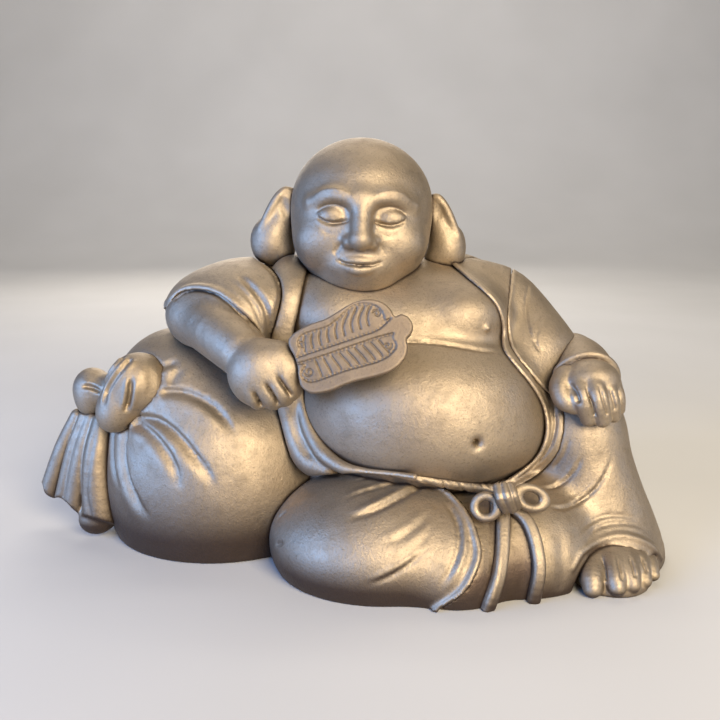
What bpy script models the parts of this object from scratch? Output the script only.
"""Seated monk figurine with a cloth sack and a leaf fan, cast in separate pieces that are pinned together.

Metres, +Z up. The figure faces -Y, its left hand is at +X. The origin is on the surface it stands on,
in the middle of its box. All design sizes below are in millimetres.
"""

import math

import bmesh
import bpy
from mathutils import Matrix, Vector

# ---------------------------------------------------------------- driving dimensions, in millimetres
MM = 0.001
WIDTH_SHIFT = 6.25         # moves the design's datum, which is under the nose, to the middle of the box
DEPTH_SHIFT = 1.75
JOINT_GAP = 0.42           # bond line between two castings, on each facet
PIN_FIT = 0.30             # glue clearance round a pin
VOXEL = 1.5                # grid that fuses the forms of one casting
PAD_THICK = 1.6            # felt under the base
PAD_INSET = 7.0            # how far the felt stays inside the base's outline
PIN_R_BIG = 2.5
PIN_R_MID = 1.9
PIN_R_SMALL = 1.3
PIN_SIDES = 12

HEAD_R = (25.0, 25.0, 26.2)
BELLY_R = (44.5, 38.5, 26.5)
SACK_R = (45.0, 42.0, 51.0)
KNEE_R = (39.0, 34.0, 27.0)

FAN_LENGTH = 34.0
FAN_WIDTH = 24.0
FAN_THICK = 3.6
FAN_GRIP = ((-13.0, -47.6, 73.0), (-33.0, -41.0, 66.0))   # the handle inside the fist, from blade to heel
LOOP_R = 3.5
LOOP_TUBE = 1.55

# ---------------------------------------------------------------- a clean scene
for old in list(bpy.data.objects):
    bpy.data.objects.remove(old, do_unlink=True)

PARTS = bpy.data.collections.new("seated_monk_figurine")
TOOLS = bpy.data.collections.new("cutters")
bpy.context.scene.collection.children.link(PARTS)
bpy.context.scene.collection.children.link(TOOLS)

ROOT = bpy.data.objects.new("figurine_datum", None)
PARTS.objects.link(ROOT)


# ---------------------------------------------------------------- materials
def paint(name, colour, rough, metal):
    m = bpy.data.materials.new(name)
    m.use_nodes = True
    b = m.node_tree.nodes["Principled BSDF"]
    b.inputs["Base Color"].default_value = (*colour, 1.0)
    b.inputs["Roughness"].default_value = rough
    b.inputs["Metallic"].default_value = metal
    m.diffuse_color = (*colour, 1.0)
    return m


BRONZE = paint("bronze_paint", (0.47, 0.38, 0.29), 0.42, 0.80)
FAN_PAINT = paint("fan_paint", (0.36, 0.29, 0.23), 0.58, 0.55)
STEEL = paint("pin_steel", (0.58, 0.58, 0.60), 0.35, 1.0)
FELT = paint("felt", (0.05, 0.09, 0.06), 0.95, 0.0)


# ---------------------------------------------------------------- building blocks
def v3(p):
    return Vector(((p[0] + WIDTH_SHIFT) * MM, (p[1] + DEPTH_SHIFT) * MM, p[2] * MM))


def mesh_object(name, bm, collection=PARTS):
    me = bpy.data.meshes.new(name)
    bm.to_mesh(me)
    bm.free()
    ob = bpy.data.objects.new(name, me)
    collection.objects.link(ob)
    return ob


def drop(ob):
    me = ob.data
    bpy.data.objects.remove(ob, do_unlink=True)
    if me is not None and me.users == 0:
        if isinstance(me, bpy.types.Mesh):
            bpy.data.meshes.remove(me)
        else:
            bpy.data.curves.remove(me)


def evaluated_mesh(ob):
    """The object's mesh with its modifiers, in world space."""
    bpy.context.view_layer.update()
    graph = bpy.context.evaluated_depsgraph_get()
    me = bpy.data.meshes.new_from_object(ob.evaluated_get(graph))
    me.transform(ob.matrix_world)
    return me


def ball(bm, centre, radii, turn=(0.0, 0.0, 0.0), sides=28):
    """An ellipsoid: turn is the rotation about X, Y and Z in degrees."""
    rot = (
        Matrix.Rotation(math.radians(turn[2]), 4, "Z")
        @ Matrix.Rotation(math.radians(turn[1]), 4, "Y")
        @ Matrix.Rotation(math.radians(turn[0]), 4, "X")
    )
    size = Matrix.Diagonal((radii[0] * MM, radii[1] * MM, radii[2] * MM, 1.0))
    bmesh.ops.create_uvsphere(
        bm, u_segments=sides, v_segments=max(8, sides // 2), radius=1.0,
        matrix=Matrix.Translation(v3(centre)) @ rot @ size,
    )


def limb(bm, points, sides=20):
    """Round beads joined by cones: each point is x, y, z, radius."""
    for p in points:
        ball(bm, p[:3], (p[3],) * 3, sides=sides)
    for a, b in zip(points, points[1:]):
        pa, pb = v3(a), v3(b)
        axis = pb - pa
        if axis.length < 1e-6:
            continue
        turn = Vector((0, 0, 1)).rotation_difference(axis.normalized()).to_matrix().to_4x4()
        bmesh.ops.create_cone(
            bm, cap_ends=True, segments=sides, radius1=a[3] * MM, radius2=b[3] * MM,
            depth=axis.length, matrix=Matrix.Translation((pa + pb) / 2) @ turn,
        )


def curve_tube(name, points, steps=6, sides=3):
    """A tapered tube along a smooth line through the points, as a mesh with closed ends."""
    cu = bpy.data.curves.new(name, "CURVE")
    cu.dimensions = "3D"
    cu.bevel_depth = 1.0 * MM
    cu.bevel_resolution = sides
    cu.use_fill_caps = True
    cu.resolution_u = steps
    sp = cu.splines.new("NURBS")
    sp.points.add(len(points) - 1)
    sp.use_endpoint_u = True
    sp.order_u = min(4, len(points))
    for q, p in zip(sp.points, points):
        q.co = (*v3(p), 1.0)
        q.radius = p[3]
    ob = bpy.data.objects.new(name, cu)
    TOOLS.objects.link(ob)
    me = evaluated_mesh(ob)
    drop(ob)
    bm = bmesh.new()
    bm.from_mesh(me)
    bpy.data.meshes.remove(me)
    bmesh.ops.remove_doubles(bm, verts=bm.verts, dist=1e-6)
    bmesh.ops.recalc_face_normals(bm, faces=bm.faces)
    return bm


def fused(name, bm, faces, voxel=VOXEL, soften=10):
    """Overlapping forms fused to one skin, softened, and brought to a number of faces."""
    ob = mesh_object(name, bm)
    re = ob.modifiers.new("fuse", "REMESH")
    re.mode = "VOXEL"
    re.voxel_size = voxel * MM
    sm = ob.modifiers.new("soften", "SMOOTH")
    sm.factor = 0.5
    sm.iterations = soften
    me = evaluated_mesh(ob)
    ob.modifiers.clear()
    old = ob.data
    ob.data = me
    bpy.data.meshes.remove(old)
    me.name = name
    de = ob.modifiers.new("facets", "DECIMATE")
    de.ratio = min(1.0, faces / max(1, 2 * len(me.polygons)))
    de.use_collapse_triangulate = True
    me = evaluated_mesh(ob)
    ob.modifiers.clear()
    old = ob.data
    ob.data = me
    bpy.data.meshes.remove(old)
    me.name = name
    return ob


def boolean(ob, other, operation="DIFFERENCE"):
    """Applies a Boolean and keeps the largest body that is left. A cut that comes back open or empty, as
    happens when two facets graze each other, is made again with the cutter a few microns to one side."""
    before = ob.data
    for nudge, crossing in ((0.0, False), (0.0, True), (6.0, False), (6.0, True), (-9.0, False), (-9.0, True), (21.0, True)):
        shift = Matrix.Translation((nudge * 1e-6, -0.7 * nudge * 1e-6, 0.4 * nudge * 1e-6))
        other.data.transform(shift)
        mod = ob.modifiers.new("cut", "BOOLEAN")
        mod.operation = operation
        mod.solver = "EXACT"
        mod.use_self = crossing
        mod.object = other
        me = evaluated_mesh(ob)
        ob.modifiers.clear()
        other.data.transform(shift.inverted())
        ob.data = me
        keep_largest(ob)
        if sound(me, before, operation):
            break
        ob.data = before
        bpy.data.meshes.remove(me)
    else:
        raise RuntimeError(f"no sound cut of {ob.name} by {other.name}")
    me.name = ob.name
    bpy.data.meshes.remove(before)


def sound(me, before, operation):
    """Closed, not empty, and no larger than it was before a cut."""
    if len(me.polygons) < 4:
        return False
    bm = bmesh.new()
    bm.from_mesh(me)
    closed = all(e.is_manifold for e in bm.edges)
    size = bm.calc_volume()
    bm.free()
    old = bmesh.new()
    old.from_mesh(before)
    was = old.calc_volume()
    old.free()
    return closed and size > 0.02 * was and (operation != "DIFFERENCE" or size < 1.0001 * was)


def keep_largest(ob):
    bm = bmesh.new()
    bm.from_mesh(ob.data)
    bmesh.ops.remove_doubles(bm, verts=bm.verts, dist=2e-6)
    bmesh.ops.triangulate(bm, faces=bm.faces)
    bmesh.ops.dissolve_degenerate(bm, edges=bm.edges, dist=2e-6)
    bmesh.ops.triangulate(bm, faces=bm.faces)
    left, groups = set(bm.verts), []
    while left:
        start = left.pop()
        group, todo = {start}, [start]
        while todo:
            for e in todo.pop().link_edges:
                for n in e.verts:
                    if n in left:
                        left.discard(n)
                        group.add(n)
                        todo.append(n)
        groups.append(group)

    def volume(group):
        faces = {f for v in group for f in v.link_faces}
        return abs(sum(f.verts[0].co.dot(f.verts[1].co.cross(f.verts[2].co)) for f in faces))

    if len(groups) > 1:
        best = max(groups, key=volume)
        bmesh.ops.delete(bm, geom=[v for v in bm.verts if v not in best], context="VERTS")
    bm.to_mesh(ob.data)
    bm.free()


def box_cutter(name, low, high, turn=None, about=None):
    """A block between two corners, turned about a point if asked."""
    bm = bmesh.new()
    bmesh.ops.create_cube(bm, size=1.0)
    lo, hi = v3(low), v3(high)
    size = hi - lo
    bmesh.ops.transform(
        bm, verts=bm.verts,
        matrix=Matrix.Translation((lo + hi) / 2) @ Matrix.Diagonal((*size, 1.0)),
    )
    if turn is not None:
        pivot = v3(about)
        rot = (
            Matrix.Rotation(math.radians(turn[2]), 4, "Z")
            @ Matrix.Rotation(math.radians(turn[1]), 4, "Y")
            @ Matrix.Rotation(math.radians(turn[0]), 4, "X")
        )
        bmesh.ops.transform(
            bm, verts=bm.verts,
            matrix=Matrix.Translation(pivot) @ rot @ Matrix.Translation(-pivot),
        )
    return mesh_object(name, bm, TOOLS)


def swollen(ob, by):
    """A copy of a casting, larger by the gap on every side, for cutting its neighbours."""
    copy = bpy.data.objects.new(ob.name + "_swollen", ob.data.copy())
    TOOLS.objects.link(copy)
    di = copy.modifiers.new("swell", "DISPLACE")
    di.strength = by * MM
    di.mid_level = 0.0
    me = evaluated_mesh(copy)
    copy.modifiers.clear()
    old = copy.data
    copy.data = me
    bpy.data.meshes.remove(old)
    return copy


def box_of(ob):
    co = [v.co for v in ob.data.vertices]
    return (
        Vector((min(c[i] for c in co) for i in range(3))),
        Vector((max(c[i] for c in co) for i in range(3))),
    )


def boxes_meet(a, b, room):
    (al, ah), (bl, bh) = box_of(a), box_of(b)
    return all(al[i] - room <= bh[i] and bl[i] - room <= ah[i] for i in range(3))


# ---------------------------------------------------------------- the castings
made = {}
on_floor = []


def casting(name, faces, balls=(), limbs=(), soften=10, voxel=VOXEL, floor=False):
    bm = bmesh.new()
    for b in balls:
        ball(bm, *b)
    for pts in limbs:
        limb(bm, pts)
    ob = fused(name, bm, faces, voxel, soften)
    if floor:
        on_floor.append(name)
    made[name] = ob
    return ob


# Head with its neck spigot, and the two long ears that are set on it.
casting(
    "head", 360,
    balls=[
        ((0.5, -4.0, 117.5), HEAD_R),
        ((0.5, -10.0, 105.5), (22.0, 17.0, 14.0)),
        ((0.5, -27.0, 112.5), (4.2, 4.0, 5.0)),
    ],
    limbs=[[(0.5, 2.0, 102.0, 14.0), (4.0, 3.0, 90.0, 14.0)]],
    soften=6,
)
casting(
    "right_ear", 130,
    balls=[((-31.4, 1.0, 107.5), (6.6, 4.6, 8.0), (0, 14, 0))],
    limbs=[[(-25.0, 0.0, 122.0, 5.0), (-27.4, 1.0, 115.0, 5.2), (-30.4, 1.0, 109.0, 5.4)]],
    soften=4, voxel=1.0,
)
casting(
    "left_ear", 130,
    balls=[((31.8, 1.0, 105.0), (6.4, 4.6, 8.0), (0, -14, 0))],
    limbs=[[(26.4, 0.0, 120.0, 5.0), (28.2, 1.0, 113.0, 5.2), (30.8, 1.0, 107.0, 5.4)]],
    soften=4, voxel=1.0,
)

# Trunk: chest, breasts, belly and seat in one casting.
casting(
    "torso", 420,
    balls=[
        ((12.0, 3.0, 80.0), (43.0, 28.0, 23.0)),
        ((31.0, -16.0, 88.0), (19.0, 19.0, 13.0)),
        ((-5.0, -16.0, 88.0), (19.0, 19.0, 13.0)),
        ((22.0, -8.5, 57.0), BELLY_R),
        ((20.0, 2.0, 28.0), (48.0, 36.0, 26.0)),
    ],
    floor=True, soften=8,
)

# Mantle over the back and the hips.
casting(
    "robe_back", 380,
    balls=[
        ((9.0, 24.0, 74.0), (57.0, 31.0, 30.0)),
        ((10.0, 26.0, 42.0), (66.0, 36.0, 40.0)),
        ((14.0, 26.0, 16.0), (80.0, 36.0, 26.0)),
        ((66.0, 10.0, 22.0), (36.0, 34.0, 34.0)),
    ],
    floor=True, soften=12,
)

# Right arm: the forearm and the fist that grips the fan.
casting(
    "right_arm", 380,
    balls=[
        ((-52.0, -13.0, 79.0), (17.0, 15.0, 13.5), (0, 20, 0)),
        ((-31.5, -41.0, 67.5), (10.0, 8.5, 9.5), (0, 35, 0)),
    ],
    limbs=[
        [(-30.0, 3.0, 86.0, 12.0), (-50.0, -10.0, 80.0, 13.5)],
        [(-52.0, -14.0, 78.5, 13.0), (-44.0, -27.0, 73.0, 11.0), (-37.5, -35.0, 70.5, 9.2)],
        [(-27.5, -44.5, 68.0, 3.6), (-23.4, -46.4, 63.5, 3.3)],
        [(-30.0, -45.5, 65.0, 3.7), (-25.8, -47.0, 60.5, 3.4)],
        [(-33.2, -45.0, 62.5, 3.6), (-29.0, -46.4, 58.2, 3.3)],
        [(-36.2, -43.0, 61.0, 3.2), (-32.4, -44.6, 57.4, 2.9)],
    ],
    soften=4, voxel=1.1,
)

# Right front of the robe, from the collar down to the lap.
casting(
    "right_lapel", 240,
    limbs=[[
        (-10.0, -8.0, 96.0, 5.0), (-19.0, -18.0, 91.0, 5.4), (-23.5, -22.0, 80.0, 6.0), (-24.0, -18.0, 68.0, 8.6),
        (-21.5, -19.0, 54.0, 9.5), (-18.5, -24.0, 42.0, 9.0), (-12.0, -34.0, 36.0, 7.0),
    ]],
    soften=5, voxel=1.2,
)

# Short sleeve that caps the right shoulder. Its hem is a slanting cut above the forearm.
casting(
    "right_sleeve", 220,
    balls=[((-44.0, -3.0, 84.0), (28.5, 27.0, 17.0), (0, -8, 0))],
    limbs=[[(-20.0, 0.0, 86.0, 13.0), (-30.0, -16.0, 82.0, 12.0)]],
    soften=8,
)

# Left arm: long sleeve, cuff with a rolled hem, hand on the raised knee.
casting(
    "left_sleeve", 220,
    balls=[((62.0, -6.0, 63.0), (16.0, 17.0, 24.0), (0, 14, 0))],
    limbs=[[(42.0, 5.0, 86.0, 13.0), (56.0, 5.0, 85.5, 13.4), (66.5, 2.0, 76.5, 13.0), (73.0, -5.0, 68.0, 12.0)]],
    soften=10,
)
casting(
    "left_cuff", 120,
    limbs=[[(78.0, -6.0, 69.5, 11.4), (78.0, -20.0, 64.5, 11.6), (78.0, -23.0, 63.3, 11.9)]],
    soften=3, voxel=1.1,
)
casting(
    "left_hand", 340,
    balls=[((77.0, -30.0, 61.5), (10.4, 8.0, 9.4), (-20, 0, 0))],
    limbs=[
        [(71.5, -37.0, 58.6, 3.4), (72.6, -38.8, 53.2, 3.0)],
        [(76.8, -38.0, 57.8, 3.5), (77.2, -39.4, 51.8, 3.1)],
        [(81.8, -36.6, 57.6, 3.4), (81.6, -38.2, 52.2, 3.0)],
        [(86.0, -33.6, 58.2, 3.1), (85.4, -35.6, 53.4, 2.7)],
        [(68.4, -31.0, 62.0, 3.8), (67.4, -34.4, 56.6, 3.3), (69.4, -36.0, 54.6, 2.9)],
    ],
    soften=3, voxel=1.0,
)

# Legs under the robe, the skirt between them, and the foot.
casting(
    "right_leg", 260,
    balls=[((8.0, -30.0, 12.0), KNEE_R, (0, 0, 4)), ((30.0, -35.0, 6.0), (25.0, 30.0, 23.0))],
    floor=True, soften=8,
)
casting(
    "left_leg", 260,
    balls=[((88.0, -10.0, 6.0), (17.0, 20.0, 20.0)), ((82.0, -36.0, 3.0), (16.0, 10.0, 11.0))],
    limbs=[
        [(77.0, -18.0, 42.0, 16.0), (81.5, -20.0, 24.0, 18.5), (85.5, -22.0, 2.0, 20.0)],
        [(77.0, -18.0, 42.0, 15.5), (66.0, 2.0, 34.0, 18.0)],
    ],
    floor=True, soften=10,
)
casting(
    "skirt", 180,
    balls=[((52.0, -27.0, 9.0), (31.0, 31.0, 27.0))],
    floor=True, soften=8,
)
casting(
    "left_foot", 280,
    balls=[((82.0, -42.0, 5.5), (12.6, 13.0, 8.0)), ((83.0, -34.0, 8.0), (10.0, 10.0, 8.0))],
    limbs=[
        [(73.8, -49.0, 5.2, 4.3), (73.0, -55.0, 4.0, 3.9)],
        [(79.6, -51.0, 5.0, 3.4), (79.4, -56.0, 3.6, 3.2)],
        [(84.6, -50.0, 4.8, 3.2), (85.0, -54.6, 3.4, 3.0)],
        [(89.2, -48.0, 4.6, 3.0), (90.0, -52.0, 3.2, 2.8)],
        [(93.0, -45.0, 4.4, 2.8), (94.2, -48.4, 3.0, 2.6)],
    ],
    floor=True, soften=3, voxel=1.0,
)

# Sack, its two-lobed knot and the gathered end of its cloth.
casting("sack_body", 300, balls=[((-52.0, 6.0, 20.0), SACK_R)], floor=True, soften=6)
casting("sack_knot_front", 130, balls=[((-78.5, -15.0, 57.0), (13.2, 11.5, 13.6), (0, 18, 0))], soften=2, voxel=1.1)
casting("sack_knot_rear", 100, balls=[((-98.0, -2.0, 54.0), (8.2, 8.0, 7.6))], soften=2, voxel=1.0)
casting(
    "sack_tail", 260,
    limbs=[
        [(-93.0, -3.0, 48.0, 4.6), (-104.0, -4.0, 32.0, 3.6), (-115.4, -5.0, 16.0, 3.2)],
        [(-92.0, -6.0, 47.0, 4.6), (-101.0, -8.0, 30.0, 4.0), (-109.0, -9.4, 12.0, 3.8)],
        [(-90.0, -8.0, 46.0, 4.4), (-97.0, -11.0, 28.0, 4.2), (-101.4, -12.0, 9.0, 4.2)],
        [(-88.0, -9.0, 44.0, 4.4), (-92.6, -12.0, 26.0, 4.6), (-94.0, -13.0, 7.0, 4.8)],
    ],
    floor=True, soften=5, voxel=1.1,
)


# Robe edges and the belt are flat bands that lie on the body: a tube along the line of the edge, kept only
# as far as the band's thickness above the forms under it.
def band(name, points, faces, under=(), thick=0.0):
    ob = fused(name, curve_tube(name, points), faces, 1.0, 3)
    if under:
        bm = bmesh.new()
        for n in under:
            bm.from_mesh(made[n].data)
        bed = fused("bed", bm, 900, VOXEL, 2)
        skin = swollen(bed, thick)
        boolean(ob, skin, "INTERSECT")
        drop(skin)
        drop(bed)
    made[name] = ob
    return ob


band("left_lapel", [
    (33.0, -2.0, 98.0, 6.0), (44.0, -12.0, 91.0, 7.0), (51.0, -18.0, 80.0, 7.0),
    (60.0, -21.0, 68.0, 7.0), (68.0, -23.0, 54.0, 7.0), (64.0, -30.0, 42.0, 6.5), (52.0, -40.0, 35.0, 5.0),
], 260, ("torso",), 2.2)
band("belt", [
    (2.0, -41.5, 37.6, 3.0), (14.0, -44.4, 35.4, 3.4), (28.0, -45.4, 34.2, 3.6), (44.0, -44.4, 34.4, 3.6), (57.0, -38.0, 38.4, 3.4),
], 130)
band("sash_tail_right", [
    (43.4, -51.0, 27.0, 1.7), (42.6, -54.6, 19.0, 1.9), (43.0, -57.6, 11.0, 2.0), (41.0, -60.0, 2.4, 2.0),
], 110)
band("sash_tail_left", [
    (47.4, -51.2, 26.4, 1.7), (53.6, -53.6, 19.0, 1.9), (56.0, -55.6, 11.0, 2.0), (54.6, -57.4, 2.4, 2.0),
], 110)


# The bow: two rings of cord and the wrapped knot between them.
def ring(name, centre, tilt, stretch):
    bpy.ops.mesh.primitive_torus_add(
        major_segments=16, minor_segments=6, major_radius=LOOP_R * MM, minor_radius=LOOP_TUBE * MM,
    )
    ob = bpy.context.active_object
    for c in list(ob.users_collection):
        c.objects.unlink(ob)
    PARTS.objects.link(ob)
    ob.name = ob.data.name = name
    rot = Matrix.Rotation(math.radians(tilt[1]), 4, "Y") @ Matrix.Rotation(math.radians(tilt[0]), 4, "X")
    ob.data.transform(Matrix.Translation(v3(centre)) @ rot @ Matrix.Diagonal((stretch, 1.0, 1.0, 1.0)))
    made[name] = ob


ring("bow_loop_right", (39.4, -52.2, 26.4), (78, 0), 1.0)
ring("bow_loop_left", (52.4, -51.2, 30.2), (78, -16), 1.25)
casting("bow_knot", 100, balls=[((45.6, -52.4, 29.2), (3.4, 3.0, 4.6), (0, 14, 0))], soften=1, voxel=0.6)


# The fan: a leaf-shaped blade with a stub of handle that sits in the fist.
def leaf_outline():
    """Half of the leaf, from the stem to the tip, as length and half width."""
    half = FAN_WIDTH / 2
    pts = []
    for i in range(13):
        s = i / 12
        round_end = (1 - abs(2 * s - 1) ** 4.5) ** 0.5
        waist = 1.0 - 0.16 * math.exp(-((s - 0.42) / 0.20) ** 2)
        pts.append((s * FAN_LENGTH, half * round_end * waist))
    return pts


def fan_matrix():
    """Along the leaf is local X, across it local Y, out of its face local Z."""
    stem, tip, below = v3((-17.5, -48.2, 71.0)), v3((13.0, -45.6, 88.0)), v3((-3.0, -51.4, 65.6))
    x = (tip - stem).normalized()
    z = x.cross(below - stem).normalized()
    if z.y > 0:
        z = -z
    y = z.cross(x)
    m = Matrix((x, y, z)).transposed().to_4x4()
    m.translation = stem
    return m


cu = bpy.data.curves.new("fan_outline", "CURVE")
cu.dimensions = "2D"
cu.fill_mode = "BOTH"
cu.extrude = FAN_THICK / 2 * MM
half = leaf_outline()
outline = [(x, y) for x, y in half] + [(x, -y) for x, y in reversed(half[1:-1])]
sp = cu.splines.new("POLY")
sp.points.add(len(outline) - 1)
for q, (x, y) in zip(sp.points, outline):
    q.co = (x * MM, y * MM, 0.0, 1.0)
sp.use_cyclic_u = True
flat = bpy.data.objects.new("fan_blade_flat", cu)
TOOLS.objects.link(flat)
flat.matrix_world = fan_matrix()
me = evaluated_mesh(flat)
drop(flat)
bm = bmesh.new()
bm.from_mesh(me)
bpy.data.meshes.remove(me)
bmesh.ops.remove_doubles(bm, verts=bm.verts, dist=1e-6)
bmesh.ops.recalc_face_normals(bm, faces=bm.faces)
fan = mesh_object("fan", bm)
made["fan"] = fan
stub = bmesh.new()
m = fan_matrix()
grip, heel = v3(FAN_GRIP[0]), v3(FAN_GRIP[1])
turn = Vector((0, 0, 1)).rotation_difference((heel - grip).normalized()).to_matrix().to_4x4()
bmesh.ops.create_cone(
    stub, cap_ends=True, segments=12, radius1=1.7 * MM, radius2=1.5 * MM, depth=(heel - grip).length,
    matrix=Matrix.Translation((grip + heel) / 2) @ turn,
)
stub_ob = mesh_object("fan_stub", stub, TOOLS)
boolean(fan, stub_ob, "UNION")
drop(stub_ob)
knob = bmesh.new()
bmesh.ops.create_uvsphere(
    knob, u_segments=12, v_segments=8, radius=2.7 * MM,
    matrix=m @ Matrix.Translation((FAN_LENGTH * MM, 0.6 * MM, 0)) @ Matrix.Diagonal((1, 1, 0.66, 1)),
)
knob_ob = mesh_object("fan_knob", knob, TOOLS)
boolean(fan, knob_ob, "UNION")
drop(knob_ob)

# ---------------------------------------------------------------- hems and trims that are plain cuts
hem = box_cutter("hem_cutter", (-120, -80, 20), (-10, 40, 78), turn=(-24, 22, 0), about=(-46, -12, 84))
boolean(made["right_sleeve"], hem)
drop(hem)

# ---------------------------------------------------------------- felt pad, let into the underside
pad_cu = bpy.data.curves.new("felt_outline", "CURVE")
pad_cu.dimensions = "2D"
pad_cu.fill_mode = "BOTH"
pad_cu.extrude = PAD_THICK / 2 * MM
PAD_EDGE = [
    (-76, 20), (-82, 0), (-72, -14), (-50, -17), (-26, -24), (-14, -44), (8, -54), (36, -50),
    (58, -42), (74, -32), (90, -20), (92, 4), (84, 30), (50, 48), (10, 52), (-40, 42),
]
sp = pad_cu.splines.new("NURBS")
sp.points.add(len(PAD_EDGE) - 1)
for q, (x, y) in zip(sp.points, PAD_EDGE):
    q.co = (*v3((x, y, 0)), 1.0)
sp.use_cyclic_u = True
sp.order_u = 3
pad_cu.resolution_u = 2
pad_flat = bpy.data.objects.new("felt_flat", pad_cu)
TOOLS.objects.link(pad_flat)
pad_flat.location = (0, 0, PAD_THICK / 2 * MM)
me = evaluated_mesh(pad_flat)
drop(pad_flat)
bm = bmesh.new()
bm.from_mesh(me)
bpy.data.meshes.remove(me)
bmesh.ops.remove_doubles(bm, verts=bm.verts, dist=1e-6)
bmesh.ops.recalc_face_normals(bm, faces=bm.faces)
made["felt_pad"] = mesh_object("felt_pad", bm)

# ---------------------------------------------------------------- pins that hold the castings together
PINS = {
    "neck_pin": ((1.0, 0.0, 104.0), (4.0, 2.0, 76.0), 3.0),
    "back_pin_upper": ((10.0, 6.0, 76.0), (10.0, 42.0, 76.0), PIN_R_BIG),
    "back_pin_lower": ((16.0, 6.0, 24.0), (16.0, 46.0, 24.0), PIN_R_BIG),
    "right_shoulder_pin": ((-6.0, 5.0, 83.0), (-42.0, -4.0, 82.0), PIN_R_BIG),
    "left_shoulder_pin": ((20.0, 4.0, 80.0), (62.0, 4.0, 80.0), PIN_R_BIG),
    "left_cuff_pin": ((66.0, 11.0, 76.5), (77.6, -13.0, 67.2), PIN_R_MID),
    "left_wrist_pin": ((78.0, -17.0, 65.8), (77.4, -31.0, 61.6), PIN_R_MID),
    "right_leg_pin": ((6.0, 22.0, 22.0), (5.0, -22.0, 17.0), PIN_R_BIG),
    "left_leg_pin": ((40.0, 2.0, 30.0), (72.0, -10.0, 34.0), PIN_R_BIG),
    "skirt_pin": ((32.0, 14.0, 22.0), (52.0, -30.0, 17.0), PIN_R_BIG),
    "foot_pin": ((83.0, -15.0, 8.0), (82.0, -42.0, 6.0), PIN_R_MID),
    "sack_pin_upper": ((6.0, 12.0, 44.0), (-40.0, 8.0, 44.0), PIN_R_BIG),
    "sack_pin_lower": ((10.0, 12.0, 15.0), (-36.0, 8.0, 15.0), PIN_R_BIG),
    "knot_pin_front": ((-64.0, -6.0, 50.0), (-79.0, -15.4, 57.0), PIN_R_MID),
    "knot_pin_rear": ((-84.0, -9.0, 56.0), (-98.0, -2.0, 54.0), PIN_R_SMALL),
    "bow_pin": ((46.0, -40.0, 27.0), (45.6, -52.6, 29.4), PIN_R_SMALL),
}


def pin(name, a, b, r):
    bm = bmesh.new()
    pa, pb = v3(a), v3(b)
    axis = pb - pa
    turn = Vector((0, 0, 1)).rotation_difference(axis.normalized()).to_matrix().to_4x4()
    bmesh.ops.create_cone(
        bm, cap_ends=True, segments=PIN_SIDES, radius1=r * MM, radius2=r * MM,
        depth=axis.length, matrix=Matrix.Translation((pa + pb) / 2) @ turn,
    )
    made[name] = mesh_object(name, bm)


for name, (a, b, r) in PINS.items():
    pin(name, a, b, r)

# ---------------------------------------------------------------- fitting: each piece is cut back from those above it in this list
ORDER = [
    "felt_pad",
    "bow_knot", "bow_loop_right", "bow_loop_left", "sash_tail_right", "sash_tail_left",
    "fan", "right_ear", "left_ear",
    "right_arm", "left_hand", "left_cuff", "left_foot",
    "sack_knot_front", "sack_knot_rear", "sack_tail",
    "head", "right_lapel", "right_sleeve", "left_sleeve", "belt", "left_lapel",
    "right_leg", "left_leg", "skirt", "sack_body", "torso", "robe_back",
]
assert sorted([*ORDER, *PINS]) == sorted(made), set(ORDER) ^ set(made)


cutters = {n: swollen(made[n], PIN_FIT if n in PINS else JOINT_GAP) for n in [*ORDER, *PINS]}
floor_block = box_cutter("floor_cutter", (-300, -300, -200), (300, 300, 0))
for i, low in enumerate(ORDER):
    for high in ORDER[:i]:
        if boxes_meet(cutters[high], made[low], 0.0):
            boolean(made[low], cutters[high])
    if low in on_floor:
        boolean(made[low], floor_block)
    for high in PINS:
        if boxes_meet(cutters[high], made[low], 0.0):
            boolean(made[low], cutters[high])
for cutter in [*cutters.values(), floor_block]:
    drop(cutter)

# ---------------------------------------------------------------- finish: materials, shading, local origins
for name, ob in made.items():
    me = ob.data
    me.materials.clear()
    me.materials.append(STEEL if name in PINS else FELT if name == "felt_pad" else FAN_PAINT if name == "fan" else BRONZE)
    low, high = box_of(ob)
    centre = (low + high) / 2
    me.transform(Matrix.Translation(-centre))
    ob.location = centre
    ob.parent = ROOT
    me.shade_smooth()
    me.set_sharp_from_angle(angle=math.radians(50))
